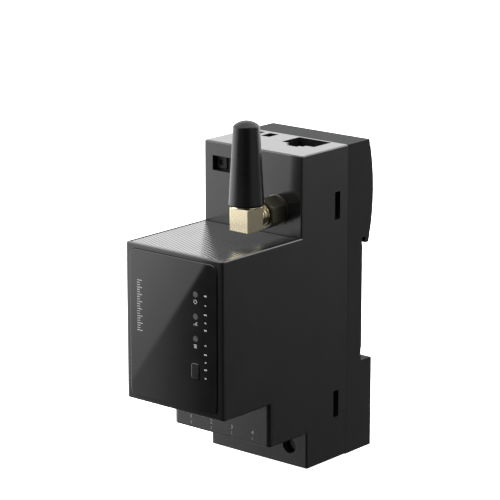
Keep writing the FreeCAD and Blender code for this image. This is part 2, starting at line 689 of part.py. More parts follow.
# ---------------------------------------------------------------- line terminals
def line_terminal_block():
    """The carrier with four cells for the screw clamps."""
    body = block(-BLOCK_HALF, BLOCK_HALF, *BLOCK_Y, *BLOCK_Z)
    ledge = HEAD_FACE + HEAD_THICK
    for x in POLE_X:
        body = body.cut(rod_y(ACCESS_RADIUS, BLOCK_Y[0] - 1, ledge, x, SCREW_Z))
        body = body.cut(rod_y(SHANK_RADIUS + 0.15, ledge - 1, BLOCK_Y[0] + 6, x, SCREW_Z))
        room = block(x - CELL_HALF, x + CELL_HALF, CAGE_Y[0] - CAGE_TRAVEL - 0.15, CAGE_Y[1] + 0.15, CAGE_Z[0] - 0.15, CAGE_Z[1] + 0.15)
        entry = block(x - ENTRY_HALF, x + ENTRY_HALF, *ENTRY_Y, BLOCK_Z[0] - 1, CAGE_Z[0] + 1)
        bar = block(x - BUSBAR_HALF - 0.05, x + BUSBAR_HALF + 0.05, BUSBAR_Y[0] - 0.05, BUSBAR_Y[1] + 0.05,
                    CAGE_Z[1] - 1, BLOCK_Z[1] + 1)
        leg = block(x - BUSBAR_HALF - 0.05, x + BUSBAR_HALF + 0.05, BUSBAR_Y[0] - 0.05, BLOCK_Y[1] + 1,
                    -35.05, BLOCK_Z[1] + 1)
        for cut in (room, entry, bar, leg):
            body = body.cut(cut)
    return body


def line_busbars():
    """Four tinned bars that take the clamped wires to the main board."""
    bars = []
    for x in POLE_X:
        upright = block(x - BUSBAR_HALF, x + BUSBAR_HALF, *BUSBAR_Y, CAGE_Z[0] + 0.5, -34.2)
        leg = block(x - BUSBAR_HALF, x + BUSBAR_HALF, BUSBAR_Y[0], MAIN_BOARD_FRONT + BOARD_THICK + 0.8, -35.0, -34.2)
        bars.append(fused([upright, leg]))
    return Part.makeCompound(bars)


def line_screw(x):
    """One terminal screw with a combined slot and cross recess."""
    ledge = HEAD_FACE + HEAD_THICK
    head = rod_y(HEAD_RADIUS, HEAD_FACE, ledge, x, SCREW_Z)
    rim = [e for e in head.Edges if isinstance(e.Curve, Part.Circle) and abs(e.BoundBox.YMax - HEAD_FACE) < 1e-6]
    head = head.makeFillet(0.3, rim)
    slot = block(x - 2.3, x + 2.3, HEAD_FACE - 1, HEAD_FACE + 0.7, SCREW_Z - 0.3, SCREW_Z + 0.3)
    cross = block(x - 0.3, x + 0.3, HEAD_FACE - 1, HEAD_FACE + 0.9, SCREW_Z - 1.3, SCREW_Z + 1.3)
    shank = rod_y(SHANK_RADIUS, ledge - 0.1, SCREW_TIP, x, SCREW_Z)
    body = head.cut(slot).cut(cross).fuse(shank)
    tilt = 30 if x > 0 else -25
    body.rotate(V(x, 0, SCREW_Z), V(0, 1, 0), tilt + 4 * x)
    return body


def line_cage(x):
    """One rising cage that pulls the wire up against the busbar."""
    body = block(x - CAGE_HALF, x + CAGE_HALF, *CAGE_Y, *CAGE_Z)
    window = block(x - CAGE_HALF + 0.7, x + CAGE_HALF - 0.7, *CAGE_WINDOW_Y, CAGE_Z[0] - 1, CAGE_Z[1] + 1)
    hole = rod_y(SHANK_RADIUS + 0.05, CAGE_Y[0] - 1, CAGE_WINDOW_Y[0] + 0.1, x, SCREW_Z)
    return body.cut(window).cut(hole)


# ---------------------------------------------------------------- antenna connector
def antenna_jack():
    """The threaded bulkhead socket that stands out of the upper wall."""
    step = THREAD_PITCH / 2
    front = [(JACK_BORE, JACK_END), (THREAD_ROOT, JACK_END), (THREAD_RADIUS, JACK_END + 0.3)]
    y = JACK_END + 0.3 + step
    while y < UPPER_FRONT - WASHER_THICK - step:
        front += [(THREAD_ROOT, y), (THREAD_RADIUS, y + step)]
        y += THREAD_PITCH
    inside = UPPER_FRONT + WALL
    back = [(THREAD_RADIUS, inside + 2.2), (2.4, inside + 2.2), (2.4, inside + 4.4), (JACK_BORE - 0.9, inside + 4.4),
            (JACK_BORE - 0.9, inside + 1.5), (JACK_BORE, inside + 1.5)]
    return turned(front + back, AXIS_X, AXIS_Z)


def jack_insulator():
    """The white insulator inside the bulkhead socket."""
    inside = UPPER_FRONT + WALL
    return tube_y(JACK_BORE, 0.64, JACK_END + 0.2, inside + 1.5, AXIS_X, AXIS_Z)


def jack_contact():
    """The socket's middle contact, split to grip the antenna's pin."""
    inside = UPPER_FRONT + WALL
    body = rod_y(0.63, JACK_END + 0.25, inside + 4.0, AXIS_X, AXIS_Z)
    return body.cut(rod_y(0.48, JACK_END, JACK_END + 3.4, AXIS_X, AXIS_Z))


def jack_washer():
    """The flat washer between the wall and the coupling nut."""
    return tube_y(WASHER_RADIUS, THREAD_RADIUS + 0.02, UPPER_FRONT - WASHER_THICK, UPPER_FRONT, AXIS_X, AXIS_Z)


def jack_lock_nut():
    """The thin nut that clamps the bulkhead socket from inside."""
    inside = UPPER_FRONT + WALL
    body = hexagon_y(8.0, inside, inside + 1.7, AXIS_X, AXIS_Z)
    return body.cut(rod_y(THREAD_RADIUS + 0.02, inside - 1, inside + 3, AXIS_X, AXIS_Z))


def antenna_lead():
    """The thin coaxial lead from the socket to the radio board, of straight runs and arcs."""
    tail_y = UPPER_FRONT + WALL + 3.3
    points = [
        V(AXIS_X, tail_y, AXIS_Z - 2.42),
        V(AXIS_X, tail_y, 16.5),
        V(AXIS_X - 1.5, -33.0, 15.0),
        V(AXIS_X - 3.0, -42.0, 17.6),
        V(1.0, -46.5, 15.6),
        V(0.0, DISPLAY_BOARD_FRONT + DISPLAY_BOARD_THICK + 0.9, 15.6),
    ]
    return swept_tube(points, 0.57, "antenna_lead")


def swept_tube(points, radius, name):
    """A round tube along straight runs joined by tangent arcs as large as the runs allow."""
    edges, start = [], points[0]
    for a, b, c in zip(points, points[1:], points[2:]):
        into, out = b - a, c - b
        shorter = min(into.Length, out.Length)
        turn = into.getAngle(out)
        bend = 0.45 * shorter / math.tan(turn / 2)
        u, w = into.normalize(), out.normalize()
        cut = bend * math.tan(turn / 2)
        p, q = b - u * cut, b + w * cut
        middle = (w - u).normalize()
        centre = p + (middle - u * middle.dot(u)).normalize() * bend
        mid = centre + (b - centre).normalize() * bend
        edges += [Part.makeLine(start, p), Part.Arc(p, mid, q).toShape()]
        start = q
        print(f"{name}: bend radius {bend:.1f} mm, turn {math.degrees(turn):.0f} degrees")
    edges.append(Part.makeLine(start, points[-1]))
    path = Part.Wire(edges)
    direction = (points[1] - points[0]).normalize()
    ring = Part.Wire(Part.makeCircle(radius, points[0], direction))
    tube = path.makePipeShell([ring], True, False)
    print(f"{name}: volume {tube.Volume:.2f}, section times length {math.pi * radius**2 * path.Length:.2f}")
    return tube


# ---------------------------------------------------------------- screw-on antenna
def coupling_nut():
    """The hexagonal nut that draws the antenna onto the socket."""
    body = hexagon_y(NUT_FLATS, *NUT_Y, AXIS_X, AXIS_Z)
    corner = NUT_FLATS / math.sqrt(3)
    trim = turned([(0, NUT_Y[0] - 0.01), (corner - 0.45, NUT_Y[0] - 0.01), (corner + 0.1, NUT_Y[0] + 0.45),
                   (corner + 0.1, NUT_Y[1] - 0.45), (corner - 0.45, NUT_Y[1] + 0.01), (0, NUT_Y[1] + 0.01)], AXIS_X, AXIS_Z)
    body = body.common(trim)
    lip_back = NUT_Y[0] + 0.6
    body = body.cut(rod_y(NUT_BORE, lip_back, NUT_Y[1] + 1, AXIS_X, AXIS_Z))
    return body.cut(rod_y(COLLAR_TUBE + 0.12, NUT_Y[0] - 1, lip_back + 0.5, AXIS_X, AXIS_Z))


def nut_snap_ring():
    """The wire ring that keeps the nut on the collar."""
    y0 = NUT_Y[0] + 0.64
    return tube_y(NUT_BORE - 0.06, COLLAR_TUBE - 0.15, y0, y0 + 0.3, AXIS_X, AXIS_Z)


def antenna_collar():
    """The ringed neck between the elbow and the nut."""
    y0, y1 = COLLAR_Y
    groove = NUT_Y[0] + 0.6
    profile = [
        (1.95, y0), (3.3, y0), (3.3, y0 + 0.55), (2.75, y0 + 0.65), (2.75, y0 + 1.15), (3.15, y0 + 1.25),
        (3.15, y0 + 1.9), (2.75, y0 + 2.0), (2.75, y0 + 2.45), (3.3, y0 + 2.55), (3.3, y1 - 0.1), (3.2, y1),
        (COLLAR_TUBE, y1), (COLLAR_TUBE, groove), (COLLAR_TUBE - 0.25, groove), (COLLAR_TUBE - 0.25, groove + 0.38),
        (COLLAR_TUBE - 0.05, groove + 0.38), (COLLAR_TUBE - 0.05, JACK_END - 0.03), (1.95, JACK_END - 0.03),
    ]
    return turned(profile, AXIS_X, AXIS_Z)


def collar_insulator():
    """The white insulator inside the collar."""
    return tube_y(1.95, 0.45, COLLAR_Y[0], JACK_END - 0.05, AXIS_X, AXIS_Z)


def antenna_pin():
    """The antenna's middle pin, which goes into the socket's contact."""
    y0 = ELBOW_BACK - 1.5
    body = rod_y(0.45, y0, JACK_END + 1.9, AXIS_X, AXIS_Z)
    tip = [e for e in body.Edges if isinstance(e.Curve, Part.Circle) and e.BoundBox.YMax > JACK_END]
    return body.makeFillet(0.2, tip)


def antenna_elbow():
    """The square block that turns the antenna upright."""
    half = ELBOW_SIZE / 2
    body = block(AXIS_X - half, AXIS_X + half, ELBOW_BACK - ELBOW_SIZE, ELBOW_BACK, AXIS_Z - half, AXIS_Z + half)
    body = body.makeChamfer(0.22, body.Edges)
    body = body.cut(rod_y(0.45, ELBOW_BACK - 1.5, ELBOW_BACK + 1, AXIS_X, AXIS_Z))
    return body.cut(rod_z(0.6, AXIS_Z + 1.2, AXIS_Z + half + 1, AXIS_X, ARM_Y))


def whip_ferrule():
    """The turned seat between the elbow and the rubber sleeve."""
    base = AXIS_Z + ELBOW_SIZE / 2
    body = rod_z(4.0, base, WHIP_BOTTOM, AXIS_X, ARM_Y).fuse(rod_z(2.4, WHIP_BOTTOM - 0.1, WHIP_BOTTOM + 4.0, AXIS_X, ARM_Y))
    return body.cut(rod_z(0.6, base - 1, WHIP_BOTTOM + 5, AXIS_X, ARM_Y))


def whip_element():
    """The radiating rod inside the sleeve."""
    return rod_z(0.6, AXIS_Z + 1.2, WHIP_TOP - 4.0, AXIS_X, ARM_Y)


def antenna_whip():
    """The tapered rubber sleeve: a rounded foot, a small ledge at the top and a dome on it."""
    low, high = WHIP_RADII
    ledge = WHIP_TOP - DOME_HEIGHT
    edge = high - DOME_RADIUS
    sphere = (DOME_RADIUS**2 + DOME_HEIGHT**2) / (2 * DOME_HEIGHT)
    middle = DOME_RADIUS / 2

    def p(r, z):
        return V(AXIS_X + r, ARM_Y, z)

    corner = 1 - math.sqrt(0.5)
    edges = [
        Part.makeLine(p(0, WHIP_BOTTOM), p(low - FOOT_EDGE, WHIP_BOTTOM)),
        Part.Arc(p(low - FOOT_EDGE, WHIP_BOTTOM), p(low - corner * FOOT_EDGE, WHIP_BOTTOM + corner * FOOT_EDGE),
                 p(low, WHIP_BOTTOM + FOOT_EDGE)).toShape(),
        Part.makeLine(p(low, WHIP_BOTTOM + FOOT_EDGE), p(high, ledge - edge)),
        Part.Arc(p(high, ledge - edge), p(high - corner * edge, ledge - corner * edge), p(DOME_RADIUS, ledge)).toShape(),
        Part.Arc(p(DOME_RADIUS, ledge), p(middle, WHIP_TOP - sphere + math.sqrt(sphere**2 - middle**2)),
                 p(0, WHIP_TOP)).toShape(),
        Part.makeLine(p(0, WHIP_TOP), p(0, WHIP_BOTTOM)),
    ]
    body = Part.Face(Part.Wire(edges)).revolve(V(AXIS_X, ARM_Y, 0), V(0, 0, 1), 360)
    body = body.cut(rod_z(2.4, WHIP_BOTTOM - 1, WHIP_BOTTOM + 4.0, AXIS_X, ARM_Y))
    return body.cut(rod_z(0.6, WHIP_BOTTOM, WHIP_TOP - 4.0, AXIS_X, ARM_Y))


# ---------------------------------------------------------------- every sub-part by name
def all_parts():
    """Name and shape of every sub-part."""
    parts = {
        "front_housing": front_housing(),
        "rear_base": rear_base(),
        "rail_latch": rail_latch(),
        "latch_spring": latch_spring(),
        "front_panel": front_panel(),
        "light_guide": light_guide(),
        "setup_button": setup_button(),
        "tact_plunger": tact_plunger(),
        "tact_switch": tact_switch(),
        "indicator_lamps": indicator_lamps(),
        "deck_plate": deck_plate(),
        "main_board": main_board(),
        "display_board": display_board(),
        "link_board": link_board(),
        "link_connectors": link_connectors(),
        "radio_module": radio_module(),
        "radio_shield": radio_shield(),
        "transformer_core": transformer_core(),
        "transformer_winding": transformer_winding(),
        "bulk_capacitor": bulk_capacitor(),
        "metering_chip": metering_chip(),
        "surge_discs": surge_discs(),
        "board_screws": board_screws(),
        "data_socket_body": socket_body(),
        "data_socket_shield": socket_shield(),
        "data_socket_contacts": socket_contacts(),
        "supply_terminal": supply_terminal(),
        "supply_springs": supply_springs(),
        "line_terminal_block": line_terminal_block(),
        "line_busbars": line_busbars(),
        "antenna_jack": antenna_jack(),
        "jack_insulator": jack_insulator(),
        "jack_contact": jack_contact(),
        "jack_washer": jack_washer(),
        "jack_lock_nut": jack_lock_nut(),
        "antenna_lead": antenna_lead(),
        "coupling_nut": coupling_nut(),
        "nut_snap_ring": nut_snap_ring(),
        "antenna_collar": antenna_collar(),
        "collar_insulator": collar_insulator(),
        "antenna_pin": antenna_pin(),
        "antenna_elbow": antenna_elbow(),
        "whip_ferrule": whip_ferrule(),
        "whip_element": whip_element(),
        "antenna_whip": antenna_whip(),
    }
    for n, x in enumerate(SUPPLY_X, 1):
        parts[f"supply_pusher_{n}"] = supply_pusher(x)
    for n, x in enumerate(POLE_X, 1):
        parts[f"line_screw_{n}"] = line_screw(x)
        parts[f"line_cage_{n}"] = line_cage(x)
    return parts


os.makedirs("parts", exist_ok=True)
for name, shape in all_parts().items():
    if not shape.isValid() or shape.Volume <= 0:
        print(f"{name}: not a valid solid")
    shape.exportStep(f"parts/{name}.step")
print("wrote", len(os.listdir("parts")), "files")
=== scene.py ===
# %% [markdown]
# # A two-module energy meter for a DIN rail
# This lesson dresses the CAD model of a small energy meter: a black moulded case, a glossy front
# panel, a ribbed glossy deck, and a gold-plated right-angle antenna with a rubber sleeve.
# The CAD model is the fixed frame. Some of its parts keep their shape and get a finish. Others are
# made again as finer surfaces, worked out with numpy, and stand in for the CAD part.

import json
import math

import bmesh
import bpy
import numpy as np
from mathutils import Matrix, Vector

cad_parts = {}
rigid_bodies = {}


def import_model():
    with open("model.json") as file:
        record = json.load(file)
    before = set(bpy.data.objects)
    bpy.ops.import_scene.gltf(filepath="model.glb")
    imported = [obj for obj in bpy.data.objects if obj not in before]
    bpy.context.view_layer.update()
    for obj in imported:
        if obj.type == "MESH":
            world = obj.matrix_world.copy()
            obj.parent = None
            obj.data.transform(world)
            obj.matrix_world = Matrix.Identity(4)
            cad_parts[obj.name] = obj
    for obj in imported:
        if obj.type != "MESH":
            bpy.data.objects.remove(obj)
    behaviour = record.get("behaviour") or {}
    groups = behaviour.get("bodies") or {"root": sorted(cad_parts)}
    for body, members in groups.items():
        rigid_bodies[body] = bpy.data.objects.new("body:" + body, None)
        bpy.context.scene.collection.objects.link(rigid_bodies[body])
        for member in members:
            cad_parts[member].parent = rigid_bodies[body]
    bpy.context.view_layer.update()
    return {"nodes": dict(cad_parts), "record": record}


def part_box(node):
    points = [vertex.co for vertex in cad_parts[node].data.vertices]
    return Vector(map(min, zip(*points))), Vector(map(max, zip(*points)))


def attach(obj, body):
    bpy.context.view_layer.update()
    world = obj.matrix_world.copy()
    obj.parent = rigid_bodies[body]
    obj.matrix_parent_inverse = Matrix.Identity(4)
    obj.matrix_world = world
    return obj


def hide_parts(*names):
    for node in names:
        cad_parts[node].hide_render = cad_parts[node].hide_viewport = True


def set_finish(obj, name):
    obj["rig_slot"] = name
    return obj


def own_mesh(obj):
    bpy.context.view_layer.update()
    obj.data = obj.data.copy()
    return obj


for left_over in list(bpy.data.objects):
    bpy.data.objects.remove(left_over)
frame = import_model()
nodes = frame["nodes"]
record = frame["record"]
slot_of = {part["node"]: part["material_slot"] for part in record["subparts"]}
MM = 0.001

# %% [markdown]
# ## Surfaces from arrays
# Almost every new piece is a grid of points: a function of two parameters. One helper numbers the
# quads of the grid and another makes the object and turns its faces outwards. Modelling by hand
# would give the same shapes, but a formula can be checked and changed in one place.


# %% Grid and finished object
def grid_faces(rows, columns, loop_rows=False, loop_columns=False):
    """Quads between neighbouring points of a grid; a loop joins the last line to the first."""
    i = np.arange(rows if loop_rows else rows - 1)
    j = np.arange(columns if loop_columns else columns - 1)
    i, j = np.meshgrid(i, j, indexing="ij")
    k, m = (i + 1) % rows, (j + 1) % columns
    here, below = i * columns, k * columns
    return np.stack([here + j, here + m, below + m, below + j], axis=-1).reshape(-1, 4)


def piece(name, body, points, faces, sharp=28.0, stands_for=(), slot=None):
    """One smooth-shaded closed object from points in millimetres; merging equal points closes poles."""
    mesh = bpy.data.meshes.new(name)
    faces = faces if isinstance(faces, list) else faces.tolist()
    mesh.from_pydata((np.asarray(points) * MM).tolist(), [], faces)
    work = bmesh.new()
    work.from_mesh(mesh)
    bmesh.ops.remove_doubles(work, verts=work.verts, dist=2e-7)
    bmesh.ops.recalc_face_normals(work, faces=work.faces)
    work.to_mesh(mesh)
    work.free()
    mesh.polygons.foreach_set("use_smooth", np.ones(len(mesh.polygons), bool))
    mesh.set_sharp_from_angle(angle=math.radians(sharp))
    made = bpy.data.objects.new(name, mesh)
    bpy.context.scene.collection.objects.link(made)
    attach(made, body)
    if stands_for:
        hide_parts(*stands_for)
    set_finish(made, slot or slot_of[stands_for[0]])
    print(name, len(mesh.polygons), "faces")
    return made


# %% [markdown]
# ## Turned shapes
# The washer, the ringed collar, the ferrule and the rubber sleeve are turned on a lathe or moulded
# round. Each is an outline carried round an axis. A lathe tool leaves no knife-sharp corner, so the
# outline's corners are eased first, which is what catches the thin bright lines of light.


# %% Eased outlines and lathes
def eased(corners, cut, steps=4):
    """Rounds each corner P of a closed outline: P + c((1-t)^2 u + t^2 w), with u, w along its two sides."""
    corners = np.asarray(corners, float)
    back = np.roll(corners, 1, axis=0) - corners
    ahead = np.roll(corners, -1, axis=0) - corners
    back_length = np.linalg.norm(back, axis=1)
    ahead_length = np.linalg.norm(ahead, axis=1)
    reach = np.minimum(cut, 0.45 * np.minimum(back_length, ahead_length))[:, None, None]
    t = np.linspace(0, 1, steps)[None, :, None]
    toward_last = (back / back_length[:, None])[:, None]
    toward_next = (ahead / ahead_length[:, None])[:, None]
    bend = (1 - t) ** 2 * toward_last + t**2 * toward_next
    return (corners[:, None] + reach * bend).reshape(-1, 2)


def turned(outline, steps=96):
    """Carries (radius, distance) points round a circle: rows follow the outline, columns the turn."""
    turn = np.arange(steps) * 2 * math.pi / steps
    radius = outline[:, :1]
    across = radius * np.cos(turn)
    up = radius * np.sin(turn)
    along = np.broadcast_to(outline[:, 1:], across.shape)
    return across, along, up


def about_y(across, along, up):
    """Places a turned grid on the socket's axis, which runs back through the wall."""
    return np.stack([AXIS_X + across, along, AXIS_Z + up], axis=-1).reshape(-1, 3)


def about_z(across, along, up):
    """Places a turned grid on the upright axis of the antenna's arm."""
    return np.stack([AXIS_X + across, ARM_Y + up, along], axis=-1).reshape(-1, 3)


def ring(name, body, corners, cut, place, node, steps=96):
    """A closed turned ring from the corners of its section."""
    outline = eased(corners, cut)
    points = place(*turned(outline, steps))
    faces = grid_faces(len(outline), steps, True, True)
    return piece(name, body, points, faces, stands_for=(node,))


AXIS_X, AXIS_Z = 8.8, 29.4
ARM_Y = -40.75
JACK_END = -32.0
WALL_FACE = -27.7
WALL_INSIDE = WALL_FACE + 1.8
ELBOW_HALF = 3.3
SLEEVE_FOOT = 33.2
print("lathe ready")

# %% [markdown]
# ## The antenna's gold-plated parts
# From the wall outwards come the washer, the hexagonal nut, the collar with its two waists and the
# square elbow. On the elbow stands a ferrule that carries the rubber sleeve. The washer and the nut are
# given a much darker copy of the gold colour: painted shade, for the shadow they sit in.

# %% Washer, collar and ferrule
ring(
    "washer",
    "meter",
    [(3.12, WALL_FACE - 0.4), (4.45, WALL_FACE - 0.4), (4.45, WALL_FACE), (3.12, WALL_FACE)],
    0.08,
    about_y,
    "jack_washer",
)
COLLAR_FRONT = -37.45
COLLAR_BACK = -34.3
NECK_BACK = -33.55
collar_section = [
    (1.95, COLLAR_FRONT),
    (3.3, COLLAR_FRONT),
    (3.3, COLLAR_FRONT + 0.55),
    (2.75, COLLAR_FRONT + 0.65),
    (2.75, COLLAR_FRONT + 1.15),
    (3.15, COLLAR_FRONT + 1.25),
    (3.15, COLLAR_FRONT + 1.9),
    (2.75, COLLAR_FRONT + 2.0),
    (2.75, COLLAR_FRONT + 2.45),
    (3.3, COLLAR_FRONT + 2.55),
    (3.3, COLLAR_BACK),
    (2.6, COLLAR_BACK),
    (2.6, NECK_BACK),
    (2.35, NECK_BACK),
    (2.35, NECK_BACK + 0.38),
    (2.55, NECK_BACK + 0.38),
    (2.55, JACK_END - 0.03),
    (1.95, JACK_END - 0.03),
]
ring("collar", "antenna", collar_section, 0.07, about_y, "antenna_collar")
SEAT = AXIS_Z + ELBOW_HALF
SPIGOT_TOP = SLEEVE_FOOT + 3.9
ferrule_section = [
    (0.6, SEAT),
    (4.0, SEAT),
    (4.0, SLEEVE_FOOT),
    (2.4, SLEEVE_FOOT),
    (2.4, SPIGOT_TOP),
    (0.6, SPIGOT_TOP),
]
ring("ferrule", "antenna", ferrule_section, 0.15, about_z, "whip_ferrule")


# %% [markdown]
# ## The hexagonal nut
# A real nut is a hexagonal bar whose ends are turned to a cone. Each cross-section is the smaller of
# a hexagon and a circle that grows away from the end, so the curved corner bevels appear by themselves.


# %% Nut
def hexagon_radius(turn, flats):
    """Radius of a soft-cornered hexagon: (flats/2) / (sum over k of max(cos(u - 60k), 0)^p)^(1/p)."""
    sides = np.arange(6) * math.pi / 3
    facing = np.maximum(np.cos(turn[:, None] - sides), 0)
    power = 70.0
    return flats / 2 / np.sum(facing**power, axis=1) ** (1 / power)


def hexagonal_nut():
    """Rows go over the outside and back through the bore; the end cone limits each outside row."""
    front, back = -34.15, -28.15
    flats = 7.94
    corner = flats / math.sqrt(3)
    turn = np.arange(180) * 2 * math.pi / 180
    inset = np.array([0, 0.02, 0.06, 0.12, 0.2, 0.3, 0.4, 0.5, 0.62, 0.8])
    middle = np.linspace(0.8, back - front - 0.8, 6)[1:-1]
    along = np.concatenate([front + inset, front + middle, back - inset[::-1]])
    end = np.minimum(along - front, back - along)
    cone = corner - 0.5 + 1.2 * end
    outside = np.minimum(hexagon_radius(turn, flats)[None, :], cone[:, None])
    lip = front + 0.6
    bore = np.array([(3.0, back), (3.2, back - 0.25), (3.2, lip), (2.72, lip), (2.72, front)])
    radius = np.concatenate([outside, np.broadcast_to(bore[:, :1], (len(bore), len(turn)))])
    along = np.concatenate([along, bore[:, 1]])[:, None]
    points = about_y(radius * np.cos(turn), np.broadcast_to(along, radius.shape), radius * np.sin(turn))
    faces = grid_faces(len(radius), len(turn), True, True)
    return piece("hex_nut", "nut", points, faces, sharp=22, stands_for=("coupling_nut",))


hexagonal_nut()


# %% [markdown]
# ## The elbow
# The elbow is a milled square block with narrow broken edges. A cube's surface is pulled in to an
# inner cube and pushed out again by the edge radius, which rounds every edge and corner at once. One
# extra line of points just inside each edge keeps the flat faces flat under smooth shading.


# %% Elbow
def rounded_block(centre, half, radius, steps=5):
    """Cube-surface points q become c + r (q - c)/|q - c|, where c is q clamped to the inner block."""
    half = np.asarray(half, float)
    end = np.linspace(-1, -1 + radius / half.min(), steps)
    flat = np.linspace(end[-1] + 0.015, -end[-1] - 0.015, 6)
    line = np.concatenate([end, flat, -end[::-1]])
    a, b = np.meshgrid(line, line, indexing="ij")
    one = np.ones_like(a)
    sides = [(one, a, b), (-one, b, a), (b, one, a), (a, -one, b), (a, b, one), (b, a, -one)]
    cube = np.stack([np.stack(s, axis=-1).reshape(-1, 3) for s in sides]) * half
    inner = np.clip(cube, radius - half, half - radius)
    out = cube - inner
    points = inner + radius * out / np.linalg.norm(out, axis=-1, keepdims=True)
    quads = grid_faces(len(line), len(line))
    faces = (quads + (np.arange(6) * cube.shape[1])[:, None, None]).reshape(-1, 4)
    return points.reshape(-1, 3) + np.asarray(centre), faces


elbow_points, elbow_faces = rounded_block((AXIS_X, ARM_Y, AXIS_Z), [ELBOW_HALF] * 3, 0.13)
piece("elbow", "antenna", elbow_points, elbow_faces, sharp=40, stands_for=("antenna_elbow",))


# %% [markdown]
# ## The rubber sleeve
# The sleeve is moulded: a straight taper with a rounded foot and a soft shoulder under a low
# dome. The outline is a chain of arcs and one long straight, and its top point is a pole.


# %% Sleeve
def arc(centre, radius, start, stop, steps):
    """Points on a circle from one angle to another, in degrees."""
    angle = np.radians(np.linspace(start, stop, steps))
    return np.stack([centre[0] + radius * np.cos(angle), centre[1] + radius * np.sin(angle)], axis=-1)


def rubber_sleeve():
    """The shoulder (r, at radius a) meets the dome (R) smoothly sqrt((R-r)^2 - (a-r)^2) above its centre."""
    foot, top = SLEEVE_FOOT, 57.0
    wide, narrow = 4.94, 3.72
    sphere, bend = 5.4, 0.65
    reach = math.sqrt((sphere - bend) ** 2 - (narrow - bend) ** 2)
    meet = math.degrees(math.atan2(reach, narrow - bend))
    dome = arc((0, top - sphere), sphere, 90, meet, 24)
    shoulder = arc((narrow - bend, top - sphere + reach), bend, meet, 3, 10)[1:]
    taper = np.linspace(0.02, 0.98, 24)[:, None]
    side = shoulder[-1] * (1 - taper) + np.array([wide, foot + 0.6]) * taper
    toe = arc((wide - 0.6, foot + 0.6), 0.6, 0, -90, 10)
    step_at, end_at = foot + 4, top - 4
    bore = [(2.5, foot), (2.42, foot + 0.1), (2.42, step_at), (0.62, step_at), (0.62, end_at), (0, end_at)]
    outline = np.concatenate([dome, shoulder, side, toe, bore])
    points = about_z(*turned(outline, 128))
    faces = grid_faces(len(outline), 128, False, True)
    return piece("sleeve", "antenna", points, faces, sharp=30, stands_for=("antenna_whip",))


rubber_sleeve()


# %% [markdown]
# ## The threaded socket
# The thread shows when the antenna is unscrewed. On a helix, turning by u is the same as moving
# along by pitch * u / 2 pi, so the radius only depends on that sum, and one grid holds the whole
# thread with no seam.


# %% Socket thread
def threaded_socket():
    """Radius = root + (crest - root) * wave(along / pitch - turn / 2 pi), faded in at the open end."""
    pitch, crest, root = 0.706, 3.1, 2.8
    start, stop, tail = JACK_END + 0.12, WALL_INSIDE + 2.2, WALL_INSIDE + 4.4
    turn = np.arange(72) * 2 * math.pi / 72
    along = np.arange(start, stop, pitch / 12)[:, None]
    wave = np.abs(((along / pitch - turn / (2 * math.pi)) % 1.0) * 2 - 1)
    flank = np.clip(1.5 * wave - 0.25, 0, 1)
    fade = np.clip((along - JACK_END) / 0.9, 0, 1)
    outside = root - 0.1 * (1 - fade) + (crest - root) * flank * fade
    step_at = WALL_INSIDE + 1.5
    behind = [(2.4, stop + 0.05), (2.4, tail), (1.4, tail), (1.4, step_at)]
    inner = np.array(behind + [(2.3, step_at), (2.3, JACK_END), (2.62, JACK_END)])
    radius = np.concatenate([outside, np.broadcast_to(inner[:, :1], (len(inner), len(turn)))])
    lines = np.concatenate([along[:, 0], inner[:, 1]])[:, None]
    points = about_y(radius * np.cos(turn), np.broadcast_to(lines, radius.shape), radius * np.sin(turn))
    faces = grid_faces(len(radius), len(turn), True, True)
    return piece("threaded_socket", "meter", points, faces, sharp=35, stands_for=("antenna_jack",))


threaded_socket()


# %% [markdown]
# ## The latch spring
# A compression spring is a round wire on a helix whose first and last turns lie closer together. A
# circle is carried along the helix, square to it, and the ends are closed to points.


# %% Spring
def coil_spring():
    """Centre line (r cos a, r sin a, z(a)); the wire's circle uses the outward and binormal directions."""
    turns, radius, wire = 9, 1.12, 0.21
    low, high = -35.0 + wire, -26.0 - wire
    share = np.linspace(0, 1, 40 * turns)
    angle = 2 * math.pi * turns * share
    lift = share - 0.06 * np.sin(2 * math.pi * share) * 0.8
    z = low + (high - low) * lift
    centre = np.stack([radius * np.cos(angle), 2.75 + radius * np.sin(angle), z], axis=-1)
    ahead = np.gradient(centre, axis=0)
    ahead /= np.linalg.norm(ahead, axis=1, keepdims=True)
    out = np.stack([np.cos(angle), np.sin(angle), np.zeros_like(angle)], axis=-1)
    side = np.cross(ahead, out)
    around = np.arange(12) * 2 * math.pi / 12
    size = np.full(len(share), wire)
    size[[0, -1]] = 0
    circle = out[:, None] * np.cos(around)[None, :, None] + side[:, None] * np.sin(around)[None, :, None]
    points = (centre[:, None] + size[:, None, None] * circle).reshape(-1, 3)
    faces = grid_faces(len(share), 12, False, True)
    made = piece("coil_spring", "meter", points, faces, sharp=60, stands_for=("latch_spring",))
    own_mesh(made)
    return made


coil_spring()


# %% [markdown]
# ## The ribbed deck
# The top of the nose is a glossy moulded plate covered with low slanting ribs, crossed by a fainter
# family the other way. The ribs are far too low to see edge-on, but each one bends the reflection,
# so they are modelled as real height on a fine grid, and not painted.


# %% Deck relief
RIB_LEAN = math.radians(24)
RIB_PITCH = 1.05
RIB_HEIGHT = 0.05
PLAIN_RIM = 0.35
EDGE_DROP = 0.3


def wave(across):
    """A rounded wave from 0 to 1 and back over each pitch."""
    return 0.5 - 0.5 * np.cos(2 * math.pi * across / RIB_PITCH)


